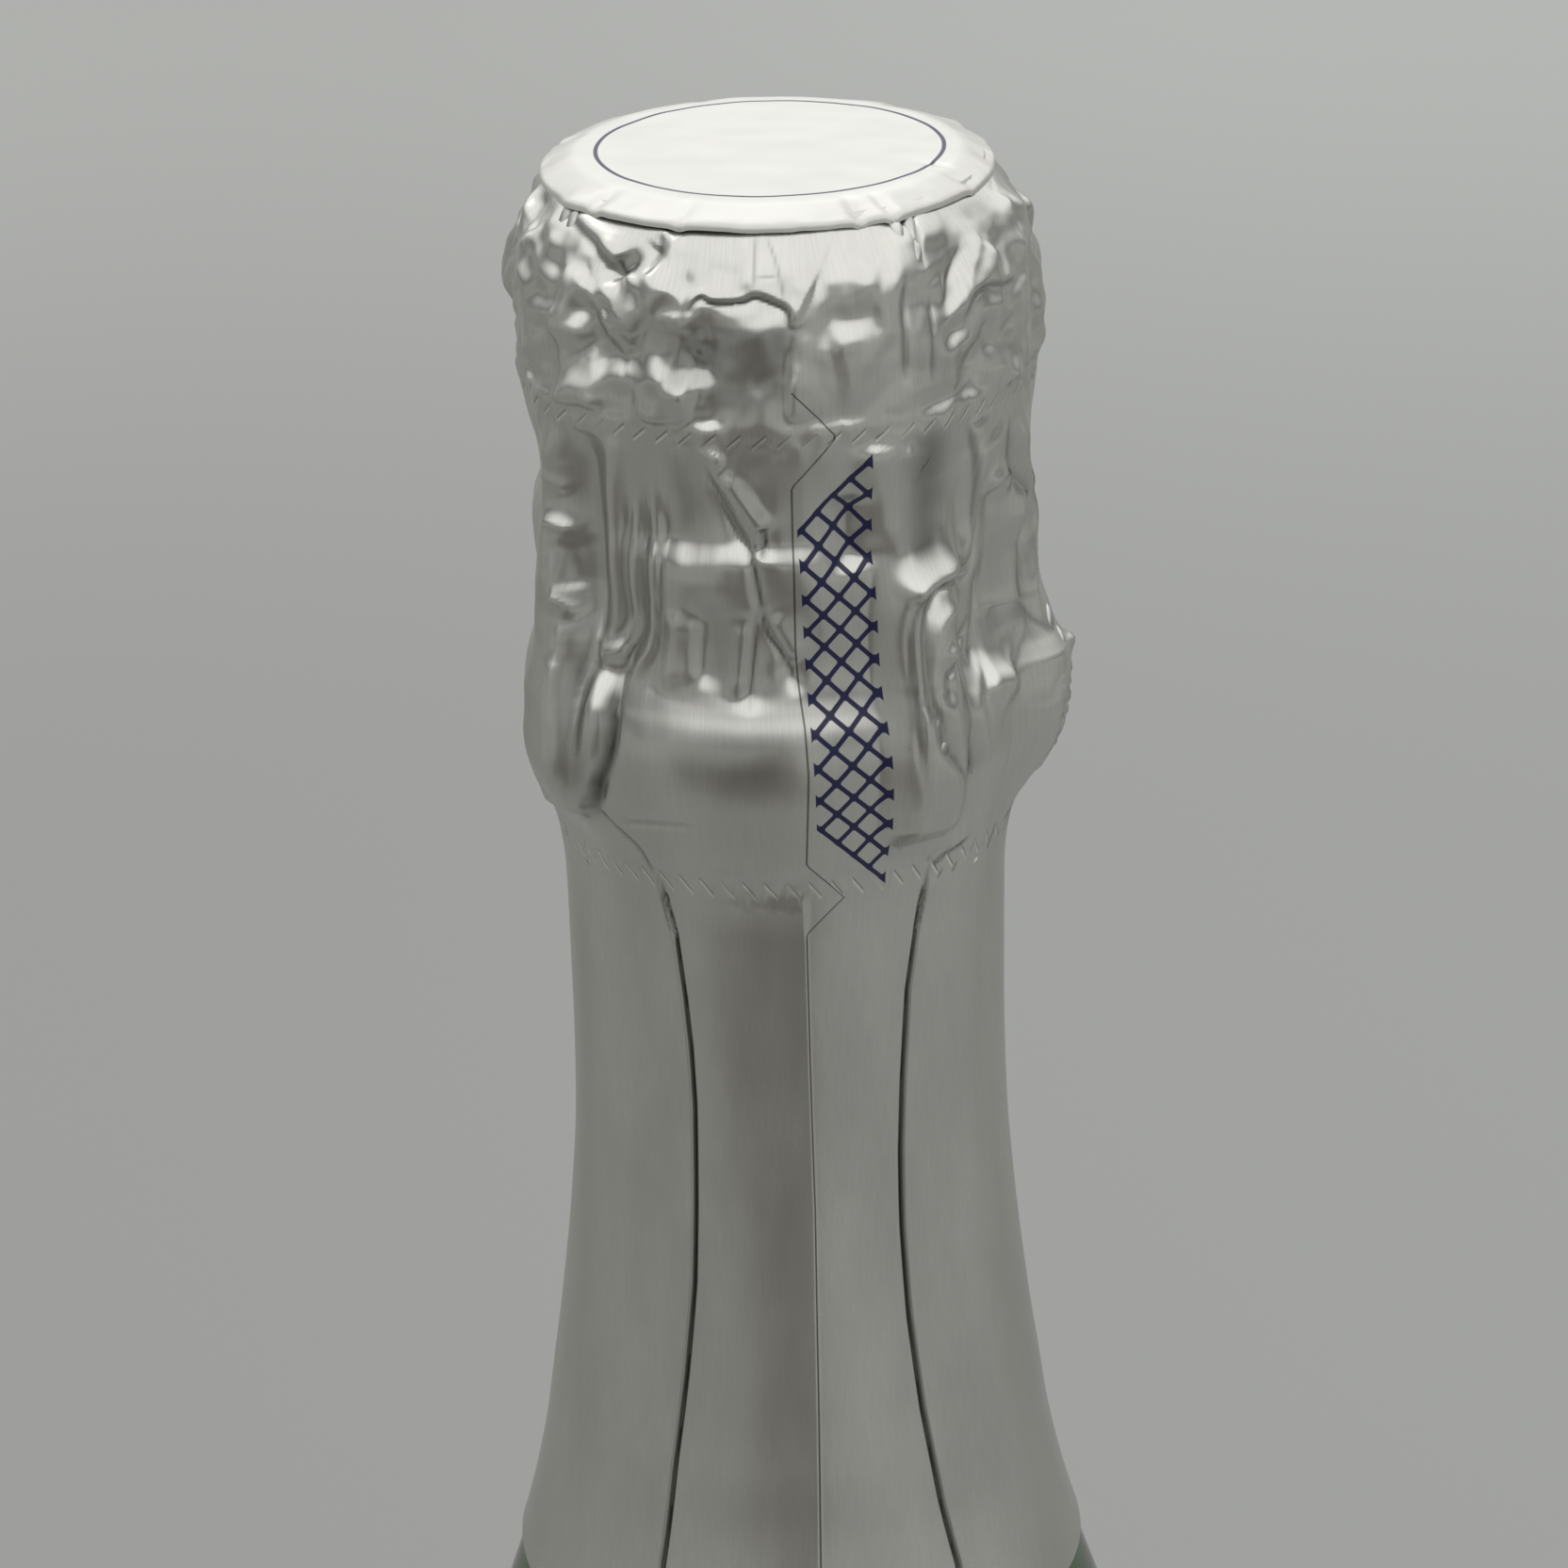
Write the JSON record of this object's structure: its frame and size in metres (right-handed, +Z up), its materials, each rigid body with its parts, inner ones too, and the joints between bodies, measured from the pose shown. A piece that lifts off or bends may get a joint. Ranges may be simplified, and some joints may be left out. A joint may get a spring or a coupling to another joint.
{
  "type": "champagne bottle",
  "caption": "Sealed sparkling wine bottle with a punted glass body, mushroom cork, wire muselet with a fold-out key, and a foil hood that tears off in bands.",
  "frame": {"origin": "centre of the base, in the plane that the bottle stands on", "axes": "+Z up along the bottle's axis to the cork; -Y is the front, where the foil's lap seam shows"},
  "size_m": [0.088, 0.088, 0.3225],
  "materials": {
    "bottle_glass": "dark green, glossy",
    "neck_foil": "satin champagne silver, creased",
    "top_disc_foil": "satin pale silver, printed ring",
    "plaque": "lacquered tinplate",
    "muselet_wire": "bright drawn wire",
    "agglomerated_cork": "agglomerated cork granules",
    "natural_cork": "natural cork disc"
  },
  "bodies": {
    "bottle": {"glass_bottle": "bottle_glass", "foil_neck_sleeve": "neck_foil"},
    "cork": {"cork_body": "agglomerated_cork", "cork_disc_outer": "natural_cork", "cork_disc_inner": "natural_cork"},
    "muselet": {"muselet_plaque": "plaque", "muselet_cage": "muselet_wire", "belt_wire": "muselet_wire"},
    "key": {"key_stem": "muselet_wire"},
    "key_grip": {"key_loop": "muselet_wire"},
    "tear_band": {"foil_tear_band": "neck_foil"},
    "foil_cap": {"foil_cap_skirt": "neck_foil", "foil_top_disc": "top_disc_foil"}
  },
  "joints": [
    {"name": "cork_pull", "type": "slide", "parent": "bottle", "child": "cork", "axis": [0, 0, 1], "range_m": [0, 0.04]},
    {"name": "muselet_lift", "type": "slide", "parent": "cork", "child": "muselet", "axis": [0, 0, 1], "range_m": [0, 0.045], "deforming": ["muselet_cage", "belt_wire"]},
    {"name": "tear_band_lift", "type": "slide", "parent": "muselet", "child": "tear_band", "axis": [0, 0, 1], "range_m": [0, 0.05], "deforming": ["foil_tear_band"]},
    {"name": "foil_cap_lift", "type": "slide", "parent": "tear_band", "child": "foil_cap", "axis": [0, 0, 1], "range_m": [0, 0.025]},
    {"name": "key_fold", "type": "hinge", "parent": "muselet", "child": "key", "pos_m": [0.01878, -0.00399, 0.281], "axis": [0.2079, 0.9781, 0], "range_deg": [0, 170]},
    {"name": "key_untwist", "type": "hinge", "parent": "key", "child": "key_grip", "pos_m": [0.01574, -0.00334, 0.29435], "axis": [-0.0215, 0.0046, 0.9998], "range_deg": [0, 1080]}
  ],
  "couplings": [
    {"joint": "key_fold", "follows": "tear_band_lift", "rad_per_m": 59.34},
    {"joint": "key_untwist", "follows": "tear_band_lift", "rad_per_m": 376.99}
  ]
}
